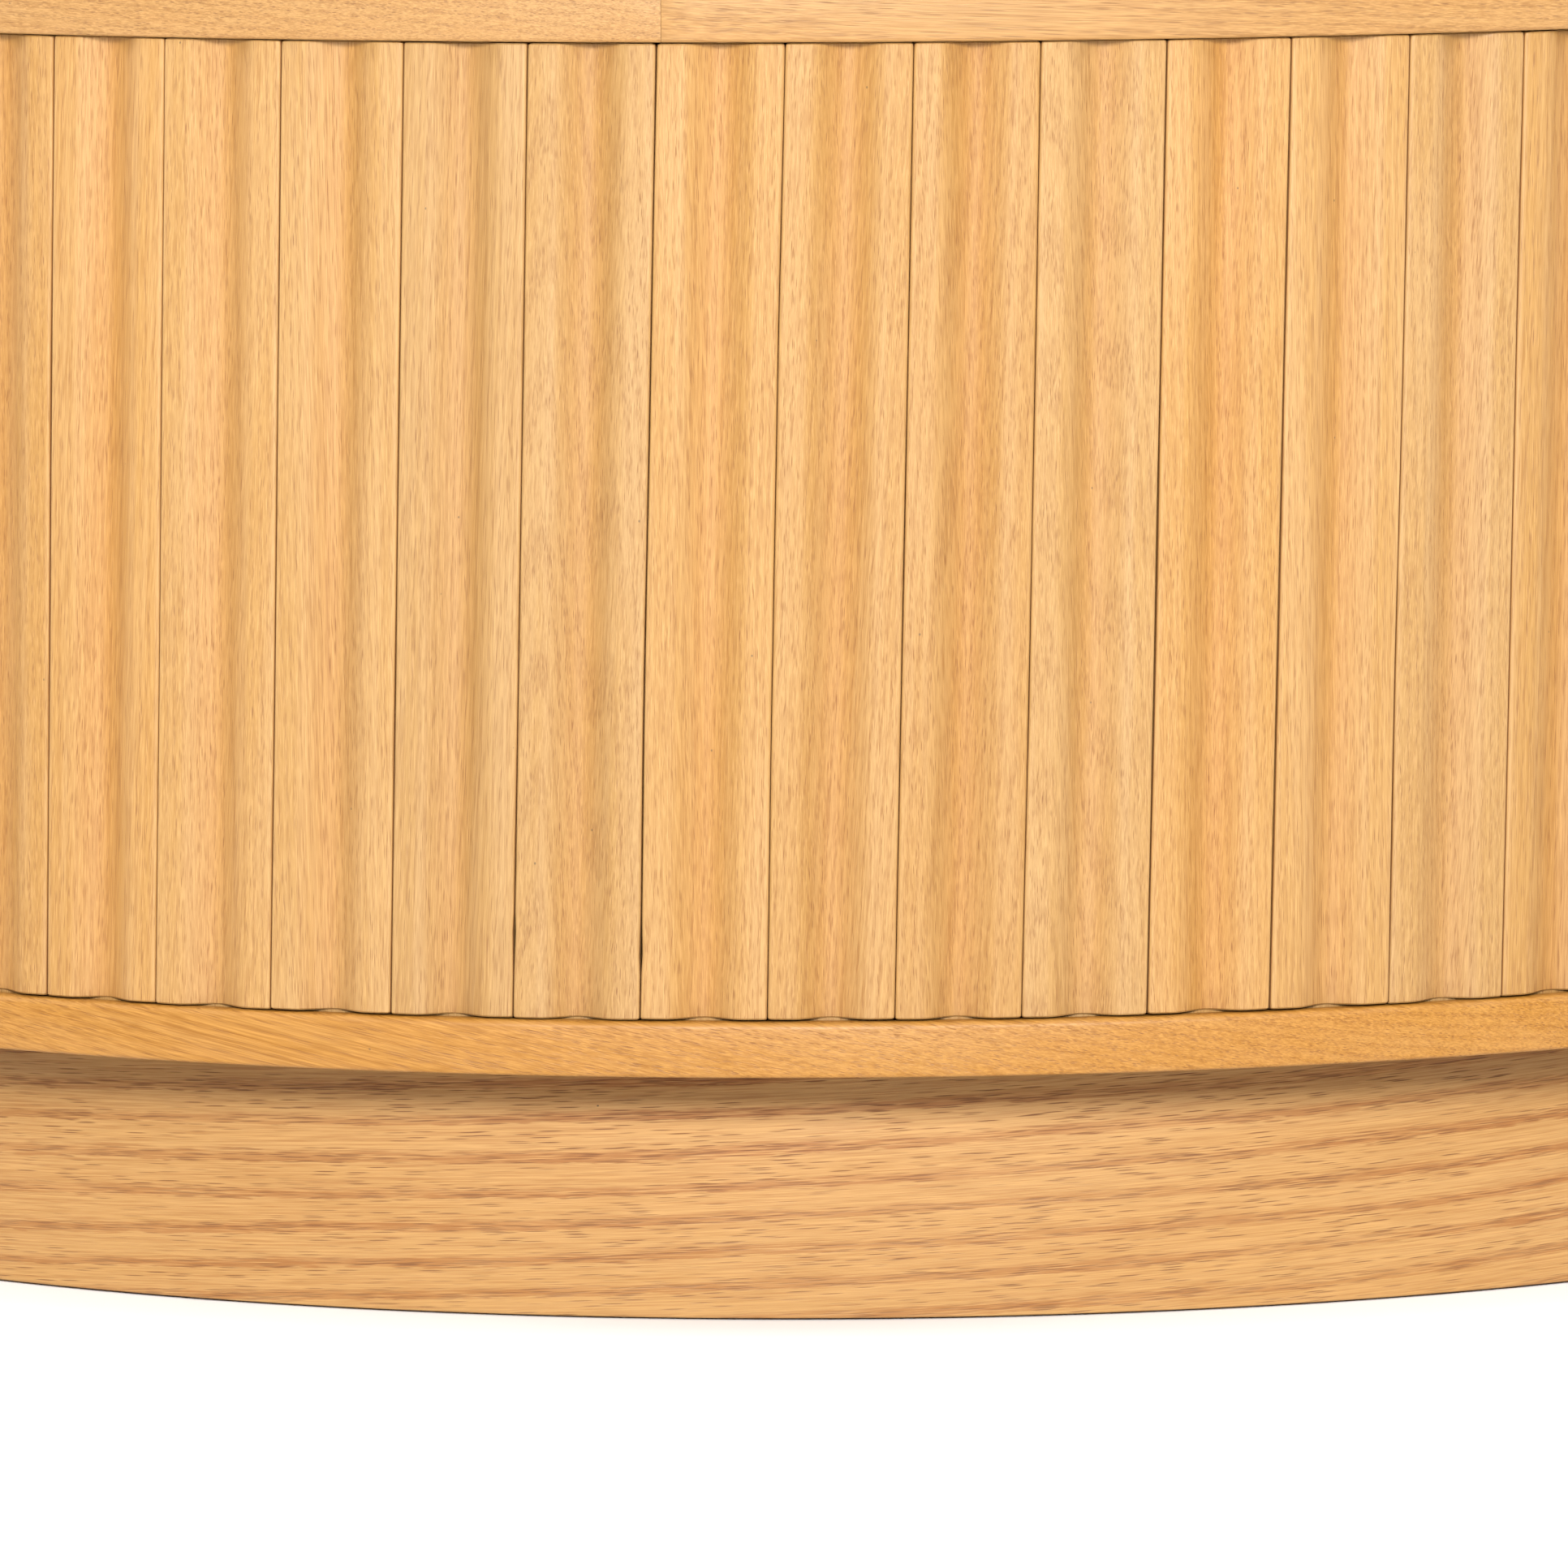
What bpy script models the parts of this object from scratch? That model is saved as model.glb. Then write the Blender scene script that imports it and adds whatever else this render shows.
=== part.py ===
"""A low round drum table whose fluted front is one tambour door on a curved track.

Metres, +Z up, the origin on the floor at the drum's axis, and the door's middle towards -Y.
Angles run from the front (-Y) towards +X, seen from above.
"""

import math

import bmesh
import bpy

# Overall
TABLE_DIAMETER = 0.910
TABLE_HEIGHT = 0.387
TOP_THICKNESS = 0.025
BASE_THICKNESS = 0.0155
PLINTH_HEIGHT = 0.0745  # floor to the underside of the base
JOINT_GAP = 0.0003  # between pieces that are glued or screwed together
FACETS = 96  # sides of a full ring

# The slatted skin
SLAT_COUNT = 80  # places around the whole drum
DOOR_PLACES = 24  # of them in the door, its two lead stiles included
WALL_PANELS = 4  # the fixed wall is bent up in this many lengths
SLAT_THICKNESS = 0.010
SLAT_SEAM = 0.0006
RIM_OVERHANG = 0.002  # of the lippings over the slats' ridges
FLUTE_DEPTH = 0.0045
FLUTE_SHARE = 0.60  # of a slat's width
SHOULDER_EASE = 0.0009
SLAT_LEAN = math.radians(1.27)
SLAT_END_GAP = 0.0008

# Lead stiles
PULL_DEPTH = 0.0068
LIP_HEIGHT = 0.0012

# Track
TONGUE_INSET = 0.001  # from the slat's back
TONGUE_THICKNESS = 0.004
TONGUE_SIDE_INSET = 0.0008
TRACK_CLEARANCE = 0.0008
BOTTOM_TRACK_DEPTH = 0.0045
TOP_TRACK_DEPTH = 0.007
TOP_TONGUE = 0.0060

# Canvas, fixed wall and stop
CANVAS_THICKNESS = 0.0008
CANVAS_END_GAP = 0.002
WALL_CLEARANCE = 0.0009
WALL_THICKNESS = 0.019
STOP_DEGREES = 3.2

# Lippings and panels
LIPPING_WIDTH = 0.035
TOP_JOINT_DEGREES = -3.9
BASE_JOINT_DEGREES = 30.0
LIPPING_LENGTHS = 6
ARRIS = 0.0012
TOP_ROUND = 0.003

# Storage bay
BOARD = 0.016
BAY_BACK = 0.150  # from the drum's axis to the face of the back board
POST_DEPTH = 0.040
POST_WIDTH = 0.013

# Plinth
PLINTH_RECESS = 0.0385
PLINTH_THICKNESS = 0.016
PLINTH_LENGTHS = 4  # bent, with their joints halfway between the front, sides and back
RAIL_WIDTH = 0.020
RAIL_LIFT = 0.012  # of the rails' undersides over the plinth's lower edge
FLOOR_GAP = 0.0006  # that the glides hold the plinth off the floor
GLIDE_RADIUS = 0.009
GLIDE_INSET = 0.030  # from the plinth's inside to a glide's centre

RADIUS = TABLE_DIAMETER / 2
TOP_UNDERSIDE = TABLE_HEIGHT - TOP_THICKNESS
BASE_TOP = PLINTH_HEIGHT + BASE_THICKNESS
SLAT_BOTTOM = BASE_TOP + SLAT_END_GAP
SLAT_TOP = TOP_UNDERSIDE - SLAT_END_GAP
MID_HEIGHT = (SLAT_BOTTOM + SLAT_TOP) / 2
PLACE = 2 * math.pi / SLAT_COUNT
RIDGE = RADIUS - RIM_OVERHANG
SLAT_BACK = RIDGE - SLAT_THICKNESS
TONGUE_BACK = SLAT_BACK + TONGUE_INSET
TONGUE_FRONT = TONGUE_BACK + TONGUE_THICKNESS
TRACK_BACK = TONGUE_BACK - TRACK_CLEARANCE
TRACK_FRONT = TONGUE_FRONT + TRACK_CLEARANCE
LIPPING_BACK = RADIUS - LIPPING_WIDTH
CANVAS_FRONT = SLAT_BACK - JOINT_GAP
CANVAS_BACK = CANVAS_FRONT - CANVAS_THICKNESS
WALL_RIDGE = CANVAS_BACK - WALL_CLEARANCE
WALL_BACK = WALL_RIDGE - WALL_THICKNESS
DOOR_HALF = DOOR_PLACES * PLACE / 2
PANEL_RADIUS = LIPPING_BACK * math.cos(math.pi / FACETS) - JOINT_GAP
CARCASS_BOTTOM = BASE_TOP + JOINT_GAP
CARCASS_TOP = TOP_UNDERSIDE - JOINT_GAP
PLINTH_RADIUS = RADIUS - PLINTH_RECESS
PLINTH_INNER = PLINTH_RADIUS - PLINTH_THICKNESS


def clear_scene():
    for obj in list(bpy.data.objects):
        bpy.data.objects.remove(obj, do_unlink=True)


def wood(name, colour, roughness):
    """A Principled material in one colour."""
    made = bpy.data.materials.new(name)
    made.use_nodes = True
    shader = made.node_tree.nodes["Principled BSDF"]
    shader.inputs["Base Color"].default_value = (*colour, 1.0)
    shader.inputs["Roughness"].default_value = roughness
    shader.inputs["Metallic"].default_value = 0.0
    made.diffuse_color = (*colour, 1.0)
    return made


def polar(radius, angle, height, lean=0.0):
    """A point at an angle from the front. A lean turns it more, the higher it is."""
    turned = angle + lean * (height - MID_HEIGHT) / RIDGE
    return (radius * math.sin(turned), -radius * math.cos(turned), height)


def lofted(name, sections):
    """A closed mesh through sections with equal numbers of points, capped at both ends."""
    shape = bmesh.new()
    rows = [[shape.verts.new(point) for point in section] for section in sections]
    count = len(rows[0])
    shape.faces.new(rows[0])
    shape.faces.new(rows[-1])
    for low, high in zip(rows, rows[1:]):
        for i in range(count):
            j = (i + 1) % count
            shape.faces.new((low[i], low[j], high[j], high[i]))
    bmesh.ops.recalc_face_normals(shape, faces=shape.faces)
    shape.normal_update()
    bmesh.ops.triangulate(shape, faces=shape.faces, ngon_method="EAR_CLIP")
    mesh = bpy.data.meshes.new(name)
    shape.to_mesh(mesh)
    shape.free()
    return mesh


def smoothed(mesh, degrees=30):
    """Shades the mesh smooth, but for its edges sharper than this."""
    for face in mesh.polygons:
        face.use_smooth = True
    mesh.set_sharp_from_angle(angle=math.radians(degrees))
    return mesh


def placed(name, mesh, material, turn=0.0, parent=None):
    if not mesh.materials:
        mesh.materials.append(material)
    obj = bpy.data.objects.new(name, mesh)
    obj.rotation_euler.z = turn
    obj.parent = parent
    bpy.context.scene.collection.objects.link(obj)
    return obj


def flute(across):
    """How far the face lies under the ridge, at -1 to 1 across one slat."""
    side = abs(across)
    if side > 0.999:
        return SHOULDER_EASE
    if side >= FLUTE_SHARE:
        return 0.0
    return FLUTE_DEPTH * (1 - (side / FLUTE_SHARE) ** 2)


def pull(across):
    """The same for a lead stile whose outer end is at 1: a deep finger hollow, then a raised lip."""
    if across < -0.999:
        return SHOULDER_EASE
    if across < -0.75:
        return 0.0
    if across < 0.45:
        return PULL_DEPTH * (1 - ((across + 0.15) / 0.60) ** 2)
    if across > 0.999:
        return SHOULDER_EASE
    return -LIP_HEIGHT


def skin_section(depth_at, stations, height, seam):
    """One slat's outline at a height, front face first."""
    half = PLACE / 2 - seam / 2 / RIDGE
    front = [
        polar(RIDGE - depth_at(u), u * half, height, SLAT_LEAN) for u in stations
    ]
    back = [polar(SLAT_BACK, u * half, height, SLAT_LEAN) for u in (1, -1)]
    return front + back


def tongue_section(stations, height):
    """The outline of the thin end that runs in the track, with as many points."""
    half = PLACE / 2 - SLAT_SEAM / 2 / RIDGE - TONGUE_SIDE_INSET / RIDGE
    front = [polar(TONGUE_FRONT, u * half, height, SLAT_LEAN) for u in stations]
    back = [polar(TONGUE_BACK, u * half, height, SLAT_LEAN) for u in (1, -1)]
    return front + back


def slat_mesh(name, depth_at, stations):
    bottom_end = BASE_TOP - BOTTOM_TRACK_DEPTH + JOINT_GAP
    top_end = SLAT_TOP + TOP_TONGUE
    sections = [
        tongue_section(stations, bottom_end),
        tongue_section(stations, SLAT_BOTTOM),
        skin_section(depth_at, stations, SLAT_BOTTOM, SLAT_SEAM),
        skin_section(depth_at, stations, SLAT_TOP, SLAT_SEAM),
        tongue_section(stations, SLAT_TOP),
        tongue_section(stations, top_end),
    ]
    return lofted(name, sections)


def make_door(oak, cloth):
    """The tambour: slats between two lead stiles, on a strip of canvas, all about the drum's axis."""
    axis = bpy.data.objects.new("tambour_axis", None)
    bpy.context.scene.collection.objects.link(axis)

    stations = (-1, -0.95, -0.6, -0.4, -0.2, 0, 0.2, 0.4, 0.6, 0.95, 1)
    slat = smoothed(slat_mesh("slat", flute, stations))
    for i in range(1, DOOR_PLACES - 1):
        turn = (i + 0.5) * PLACE - DOOR_HALF
        placed(f"door_slat_{i:02d}", slat, oak, turn, axis)

    stations = (-1, -0.95, -0.75, -0.5, -0.15, 0.2, 0.4499, 0.5, 0.7, 0.95, 1)
    right = smoothed(slat_mesh("lead_stile", pull, stations))
    turn = DOOR_HALF - PLACE / 2
    placed("lead_stile_right", right, oak, turn, axis)
    mirrored = tuple(-u for u in reversed(stations))
    left = smoothed(slat_mesh("lead_stile_mirrored", lambda u: pull(-u), mirrored))
    placed("lead_stile_left", left, oak, -turn, axis)

    low = BASE_TOP + CANVAS_END_GAP
    high = TOP_UNDERSIDE - CANVAS_END_GAP
    sections = []
    angles = [i * PLACE - DOOR_HALF for i in range(DOOR_PLACES + 1)]
    angles[0] += PLACE / 4
    angles[-1] -= PLACE / 4
    cut = math.cos(PLACE / 2) / math.cos(PLACE / 4)  # keeps the cut ends flat along their slats
    shares = [cut] + [1.0] * (DOOR_PLACES - 1) + [cut]
    for height in (low, high):
        face = list(zip(angles, shares))
        front = [polar(CANVAS_FRONT * k, a, height, SLAT_LEAN) for a, k in face]
        back = [polar(CANVAS_BACK * k, a, height, SLAT_LEAN) for a, k in reversed(face)]
        sections.append(front + back)
    placed("tambour_canvas", smoothed(lofted("canvas", sections)), cloth, 0.0, axis)


def make_wall(oak):
    """The fixed fluted wall, in bent lengths from one side of the doorway round to the other."""
    places = (SLAT_COUNT - DOOR_PLACES) // WALL_PANELS
    stations = (-1, -0.93, -0.6, -0.3, 0, 0.3, 0.6, 0.93)
    trim = JOINT_GAP / 2 / WALL_BACK
    sections = []
    for height in (CARCASS_BOTTOM, CARCASS_TOP):
        front = []
        for i in range(places):
            for u in stations:
                angle = (i + 0.5 + u / 2) * PLACE
                depth = flute(u)
                front.append(polar(WALL_RIDGE - depth, max(angle, trim), height, SLAT_LEAN))
        end = places * PLACE - trim
        front.append(polar(WALL_RIDGE - SHOULDER_EASE, end, height, SLAT_LEAN))
        back = []
        for i in range(places, -1, -1):
            angle = min(max(i * PLACE, trim), end)
            back.append(polar(WALL_BACK, angle, height, SLAT_LEAN))
        sections.append(front + back)
    panel = smoothed(lofted("wall_panel", sections))
    for i in range(WALL_PANELS):
        turn = DOOR_HALF + i * places * PLACE
        placed(f"wall_panel_{i + 1}", panel, oak, turn)


def prism(name, outline, low, high):
    """An upright block over an outline of (x, y) points."""
    return lofted(name, [[(x, y, z) for x, y in outline] for z in (low, high)])


def post_corners():
    """The right doorway post's corners as (radius, angle), clear of the leaning edge of the wall."""
    lean = SLAT_LEAN * (CARCASS_TOP - CARCASS_BOTTOM) / 2 / RIDGE
    edge = DOOR_HALF - lean - JOINT_GAP / WALL_BACK
    inner = edge - POST_WIDTH / WALL_BACK
    front = WALL_RIDGE - JOINT_GAP
    back = front - POST_DEPTH
    return [(back, inner), (front, inner), (front, edge), (back, edge)]


def make_posts(oak):
    """Upright posts just inside the doorway's two sides, and the stop at the back."""
    for side, name in ((1, "doorway_post_right"), (-1, "doorway_post_left")):
        outline = [polar(r, side * a, 0)[:2] for r, a in post_corners()]
        placed(name, prism(name, outline, CARCASS_BOTTOM, CARCASS_TOP), oak)
    half = math.radians(STOP_DEGREES) / 2
    corners = [(WALL_RIDGE + JOINT_GAP, -half), (RIDGE, -half), (RIDGE, half)]
    corners.append((WALL_RIDGE + JOINT_GAP, half))
    outline = [polar(r, math.pi + a, 0)[:2] for r, a in corners]
    placed("back_stop", prism("back_stop", outline, CARCASS_BOTTOM, CARCASS_TOP), oak)


def swept(name, profile, start, end, steps):
    """A profile of (radius, height) points carried round the axis."""
    sections = []
    for i in range(steps + 1):
        angle = start + (end - start) * i / steps
        sections.append([polar(r, angle, z) for r, z in profile])
    return smoothed(lofted(name, sections))


def make_lippings(oak):
    """The solid edges of the top and the base, each in butted lengths with the tambour's track."""
    top_track = TOP_UNDERSIDE + TOP_TRACK_DEPTH
    top = [
        (LIPPING_BACK, TOP_UNDERSIDE),
        (TRACK_BACK, TOP_UNDERSIDE),
        (TRACK_BACK, top_track),
        (TRACK_FRONT, top_track),
        (TRACK_FRONT, TOP_UNDERSIDE),
        (RADIUS - ARRIS, TOP_UNDERSIDE),
        (RADIUS, TOP_UNDERSIDE + ARRIS),
        (RADIUS, TABLE_HEIGHT - TOP_ROUND),
        (RADIUS - TOP_ROUND * 0.3, TABLE_HEIGHT - TOP_ROUND * 0.3),
        (RADIUS - TOP_ROUND, TABLE_HEIGHT),
        (LIPPING_BACK, TABLE_HEIGHT),
    ]
    base_track = BASE_TOP - BOTTOM_TRACK_DEPTH
    base = [
        (LIPPING_BACK, PLINTH_HEIGHT),
        (RADIUS - ARRIS, PLINTH_HEIGHT),
        (RADIUS, PLINTH_HEIGHT + ARRIS),
        (RADIUS, BASE_TOP - ARRIS * 1.5),
        (RADIUS - ARRIS * 0.4, BASE_TOP - ARRIS * 0.5),
        (RADIUS - ARRIS * 1.5, BASE_TOP),
        (TRACK_FRONT, BASE_TOP),
        (TRACK_FRONT, base_track),
        (TRACK_BACK, base_track),
        (TRACK_BACK, BASE_TOP),
        (LIPPING_BACK, BASE_TOP),
    ]
    length = 2 * math.pi / LIPPING_LENGTHS
    trim = JOINT_GAP / 2 / LIPPING_BACK
    steps = FACETS // LIPPING_LENGTHS
    kinds = (("top_lipping", top, TOP_JOINT_DEGREES), ("base_lipping", base, BASE_JOINT_DEGREES))
    for name, profile, joint in kinds:
        piece = swept(name, profile, trim, length - trim, steps)
        for i in range(LIPPING_LENGTHS):
            turn = math.radians(joint) + i * length
            placed(f"{name}_{i + 1}", piece, oak, turn)


def disc(name, radius, low, high, sides):
    ring = [polar(radius, 2 * math.pi * i / sides, 0)[:2] for i in range(sides)]
    return smoothed(prism(name, ring, low, high))


def make_panels(veneer, board):
    top = disc("top_panel", PANEL_RADIUS, TOP_UNDERSIDE, TABLE_HEIGHT, FACETS)
    placed("top_panel", top, veneer)
    base = disc("base_panel", PANEL_RADIUS, PLINTH_HEIGHT, BASE_TOP, FACETS)
    placed("base_panel", base, board)


def make_bay(board):
    """Two side boards behind the doorway posts and a back board across them."""
    inner, front, _ = polar(*post_corners()[-1], 0)
    front += JOINT_GAP
    outer = inner + BOARD
    for side, name in ((1, "bay_side_right"), (-1, "bay_side_left")):
        outline = [(side * inner, front), (side * outer, front), (side * outer, BAY_BACK)]
        outline.append((side * inner, BAY_BACK))
        placed(name, prism(name, outline, CARCASS_BOTTOM, CARCASS_TOP), board)
    start = BAY_BACK + JOINT_GAP
    outline = [(-outer, start), (outer, start), (outer, start + BOARD), (-outer, start + BOARD)]
    placed("bay_back", prism("bay_back", outline, CARCASS_BOTTOM, CARCASS_TOP), board)


def make_plinth(veneer, board, nylon):
    """The plinth in bent lengths, two half-lapped rails across it and a glide under each rail's end."""
    high = PLINTH_HEIGHT - JOINT_GAP
    profile = [
        (PLINTH_INNER, FLOOR_GAP),
        (PLINTH_RADIUS, FLOOR_GAP),
        (PLINTH_RADIUS, high),
        (PLINTH_INNER, high),
    ]
    length = 2 * math.pi / PLINTH_LENGTHS
    trim = JOINT_GAP / 2 / PLINTH_INNER
    bent = swept("plinth_length", profile, trim, length - trim, FACETS // PLINTH_LENGTHS)
    for i in range(PLINTH_LENGTHS):
        placed(f"plinth_length_{i + 1}", bent, veneer, (i - 0.5) * length)

    half = RAIL_WIDTH / 2
    reach = PLINTH_INNER * math.cos(math.pi / FACETS) - JOINT_GAP
    reach = math.sqrt(reach**2 - half**2)
    low = FLOOR_GAP + RAIL_LIFT
    lap = (low + high) / 2
    slot = half + JOINT_GAP
    under = [(-reach, low), (reach, low), (reach, high), (slot, high)]
    under += [(slot, lap), (-slot, lap), (-slot, high), (-reach, high)]
    over = [(-reach, low), (-slot, low), (-slot, lap + JOINT_GAP), (slot, lap + JOINT_GAP)]
    over += [(slot, low), (reach, low), (reach, high), (-reach, high)]
    sections = [[(u, y, z) for u, z in under] for y in (-half, half)]
    placed("plinth_rail_across", lofted("rail_across", sections), board)
    sections = [[(x, u, z) for u, z in over] for x in (-half, half)]
    placed("plinth_rail_deep", lofted("rail_deep", sections), board)

    glide = disc("glide", GLIDE_RADIUS, 0, low - JOINT_GAP, 16)
    for i in range(4):
        x, y, _ = polar(PLINTH_INNER - GLIDE_INSET, i * math.pi / 2, 0)
        obj = placed(f"glide_{i + 1}", glide, nylon)
        obj.location = (x, y, 0)


def main():
    clear_scene()
    slat_oak = wood("slat_oak", (0.76, 0.44, 0.19), 0.42)
    lipping_oak = wood("lipping_oak", (0.74, 0.40, 0.16), 0.38)
    veneer = wood("oak_veneer", (0.66, 0.37, 0.16), 0.40)
    board = wood("carcass_board", (0.60, 0.40, 0.22), 0.55)
    wall_oak = wood("wall_oak", (0.72, 0.42, 0.19), 0.45)
    cloth = wood("canvas", (0.42, 0.36, 0.27), 0.90)
    nylon = wood("glide_nylon", (0.10, 0.10, 0.09), 0.50)
    make_door(slat_oak, cloth)
    make_wall(wall_oak)
    make_posts(wall_oak)
    make_lippings(lipping_oak)
    make_panels(veneer, board)
    make_bay(board)
    make_plinth(veneer, board, nylon)


main()
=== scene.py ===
import math

import bmesh
import bpy
import numpy as np
from mathutils import Matrix, Vector


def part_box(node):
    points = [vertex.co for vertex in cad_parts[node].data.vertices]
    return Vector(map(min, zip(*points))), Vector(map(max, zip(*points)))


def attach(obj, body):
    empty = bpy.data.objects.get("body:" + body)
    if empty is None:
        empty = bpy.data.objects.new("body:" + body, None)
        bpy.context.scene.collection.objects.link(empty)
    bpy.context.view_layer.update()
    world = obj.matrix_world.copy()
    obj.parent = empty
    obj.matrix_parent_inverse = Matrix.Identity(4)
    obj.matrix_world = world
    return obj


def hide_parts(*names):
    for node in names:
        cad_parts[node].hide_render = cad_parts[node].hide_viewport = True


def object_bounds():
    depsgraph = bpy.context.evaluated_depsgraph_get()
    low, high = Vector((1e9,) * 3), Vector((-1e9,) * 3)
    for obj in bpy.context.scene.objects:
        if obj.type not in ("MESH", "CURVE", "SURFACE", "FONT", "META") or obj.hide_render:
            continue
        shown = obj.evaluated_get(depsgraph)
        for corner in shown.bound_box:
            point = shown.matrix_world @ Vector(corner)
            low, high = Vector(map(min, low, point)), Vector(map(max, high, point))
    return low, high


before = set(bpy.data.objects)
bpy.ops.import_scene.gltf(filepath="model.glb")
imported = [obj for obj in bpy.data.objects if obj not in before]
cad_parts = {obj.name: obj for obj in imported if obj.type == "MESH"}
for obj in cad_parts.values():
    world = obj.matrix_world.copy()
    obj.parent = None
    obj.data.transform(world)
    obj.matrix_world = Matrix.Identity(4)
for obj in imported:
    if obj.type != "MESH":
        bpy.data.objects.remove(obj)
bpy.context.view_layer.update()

# Sizes read from the frame
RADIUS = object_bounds()[1].x
TABLE_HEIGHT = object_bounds()[1].z
TOP_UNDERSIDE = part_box("top_lipping_1")[0].z
BASE_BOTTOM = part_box("base_lipping_1")[0].z
BASE_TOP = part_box("base_lipping_1")[1].z
TONGUE_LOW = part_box("door_slat_01")[0].z
TONGUE_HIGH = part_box("door_slat_01")[1].z
CARCASS_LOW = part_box("wall_panel_1")[0].z
CARCASS_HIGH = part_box("wall_panel_1")[1].z
PLINTH_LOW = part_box("plinth_length_1")[0].z
PLINTH_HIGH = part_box("plinth_length_1")[1].z
PLINTH_RADIUS = -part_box("plinth_length_1")[0].y
CANVAS_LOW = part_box("tambour_canvas")[0].z
CANVAS_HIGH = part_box("tambour_canvas")[1].z

# Sizes repeated from the CAD, in metres
JOINT_GAP = 0.0003
SLAT_COUNT = 80
DOOR_PLACES = 24
WALL_PANELS = 4
LIPPING_LENGTHS = 6
PLINTH_LENGTHS = 4
RIM_OVERHANG = 0.002
SLAT_THICKNESS = 0.010
SLAT_END_GAP = 0.0008
SLAT_LEAN = math.radians(1.27)
FLUTE_DEPTH = 0.0045
TONGUE_INSET = 0.001
TONGUE_THICKNESS = 0.004
TONGUE_SIDE_INSET = 0.0008
TRACK_CLEARANCE = 0.0008
BOTTOM_TRACK_DEPTH = 0.0045
TOP_TRACK_DEPTH = 0.007
CANVAS_THICKNESS = 0.0008
WALL_CLEARANCE = 0.0009
WALL_THICKNESS = 0.019
LIPPING_WIDTH = 0.035
TOP_JOINT = math.radians(-3.9)
BASE_JOINT = math.radians(30.0)
PLINTH_THICKNESS = 0.016
STOP_ANGLE = math.radians(3.2)
PULL_DEPTH = 0.0068
LIP_HEIGHT = 0.0012
POST_WIDTH = 0.013
POST_DEPTH = 0.040
TOP_ROUND = 0.003
RIM_ARRIS = 0.0012

PLACE = 2 * math.pi / SLAT_COUNT
WALL_PLACES = (SLAT_COUNT - DOOR_PLACES) // WALL_PANELS
RIDGE = RADIUS - RIM_OVERHANG
SLAT_BACK = RIDGE - SLAT_THICKNESS
TONGUE_BACK = SLAT_BACK + TONGUE_INSET
TONGUE_FRONT = TONGUE_BACK + TONGUE_THICKNESS
TRACK_BACK = TONGUE_BACK - TRACK_CLEARANCE
TRACK_FRONT = TONGUE_FRONT + TRACK_CLEARANCE
LIPPING_BACK = RADIUS - LIPPING_WIDTH
PANEL_RADIUS = LIPPING_BACK - JOINT_GAP
CANVAS_FRONT = SLAT_BACK - JOINT_GAP
CANVAS_BACK = CANVAS_FRONT - CANVAS_THICKNESS
WALL_RIDGE = CANVAS_BACK - WALL_CLEARANCE
WALL_BACK = WALL_RIDGE - WALL_THICKNESS
SLAT_BOTTOM = BASE_TOP + SLAT_END_GAP
SLAT_TOP = TOP_UNDERSIDE - SLAT_END_GAP
MID_HEIGHT = (SLAT_BOTTOM + SLAT_TOP) / 2
DOOR_HALF = DOOR_PLACES * PLACE / 2
SLAT_HALF = PLACE * RIDGE / 2

# Details of the slats that only the looks have, in metres
FLUTE_HALF = 0.62 * SLAT_HALF
SLAT_ARRIS = 0.0009
SHOULDER_ROLL = 0.0003
END_EASE = 0.0004
END_REACH = (0.0004, 0.0006)  # most that a slat passes the CAD's lower and upper end
END_SPREAD = 0.00025  # between the slats that pass it most and least
BODY_INSET = (0.0012, 0.0015)  # from its lower and upper end to its plain rows
CORNER_CLIP = 0.0009
TOP_CLIPS = (0.3, 1.0)  # least and most share of the clip that a slat's upper corners lose
BOTTOM_CLIPS = (0.1, 0.5)
STAND_BACK = 0.0002  # most that a slat stands back from the ridge circle
SLAT_BOW = 0.00008
OPEN_SEAM = (0.00014, 0.00042)  # least and most mean width
CLOSED_SEAM = (0.00008, 0.00014)
LEAST_SEAM = 0.00006
SEAM_SPREAD = 0.4  # of its mean width
SEAM_WANDER = 0.00022
CLOSED_SEAMS = (7, 12, 13, 14)  # counted from the door's left end
CHIPPED_SEAMS = (10, 11)
CHIP = 0.0006
CHIP_PLACE = (0.06, 0.12)  # least and most share of the slat's height
CHIP_REACH = 0.016  # in shares of that height
WALL_SEAM = 0.0001
SLAT_POINTS = 31  # across a door slat's face, between its eased edges
WALL_POINTS = 23
SLAT_ROWS = 48
CROWN_SLATS = 0.25  # share of the door's slats that show arches
CROWN_WALL_SLATS = 0.2
END_RUBBING_AND_SHEEN = 0.8  # rubbing and painted highlight along a slat's two ends

# Details of the other pieces
BUTT_GAP = 0.00008
BUTT_EASE = 0.00015
BUTT_SHRINK = 0.997  # of the outline at a butted end
TRACK_EASE = 0.0004
HIDDEN_EASE = 0.0003
PLINTH_ARRIS = 0.0006
BOARD_EASE = 0.0007
RUBBING_AND_SHEEN_REACH = 0.002
VENEER = 0.0006
TOP_LEAVES = 5
LEAF_GAP = 0.00002

DRAWS = np.random.RandomState(41)


# Shapes

def polar(radius, angle, height, lean=0.0):
    """Points at angles from the front. A lean turns them more, the higher they are."""
    turned = angle + lean * (height - MID_HEIGHT) / RIDGE
    flat = np.broadcast_arrays(radius * np.sin(turned), -radius * np.cos(turned), height)
    return np.stack(flat, -1)


def wavering(size, knots=6):
    """A smooth random function of 0 to 1, within plus and minus size."""
    values = DRAWS.uniform(-size, size, knots)

    def at(share):
        spot = np.clip(share, 0, 1) * (knots - 1)
        low = np.minimum(spot.astype(int), knots - 2)
        part = spot - low
        part = part * part * (3 - 2 * part)
        return values[low] * (1 - part) + values[low + 1] * part

    return at


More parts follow.
